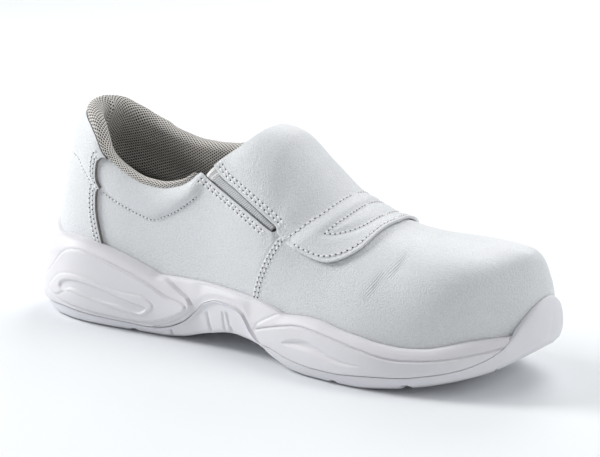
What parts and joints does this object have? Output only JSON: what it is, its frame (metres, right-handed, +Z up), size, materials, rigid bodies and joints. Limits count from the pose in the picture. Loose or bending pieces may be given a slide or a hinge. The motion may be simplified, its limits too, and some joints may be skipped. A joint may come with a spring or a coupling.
{
  "type": "slip-on safety shoe",
  "caption": "White slip-on safety shoe for the right foot: hollow leather upper with elastic side slits, instep flap, padded mesh collar and a moulded sole that rises into a toe bumper.",
  "frame": {"origin": "on the floor under the middle of the sole's length and width", "axes": "+X towards the toe, +Y towards the inner (medial) side of the right foot, +Z up"},
  "size_m": [0.301, 0.1108, 0.1145],
  "materials": {
    "compact_sole": "matte white compact polyurethane",
    "soft_sole": "matte white soft polyurethane",
    "insole_fabric": "dark grey needled fabric",
    "upper_leather": "satin white leather with a fine grain",
    "overlay_leather": "satin white leather with a fine grain",
    "elastic": "grey ribbed elastic",
    "lining_mesh": "grey open spacer mesh"
  },
  "bodies": {
    "root": {"outsole": "compact_sole", "midsole": "soft_sole", "insole": "insole_fabric", "upper": "upper_leather", "heel_counter": "overlay_leather", "instep_flap": "overlay_leather", "gore_lateral": "elastic", "gore_medial": "elastic", "collar_lining": "lining_mesh"}
  },
  "joints": []
}
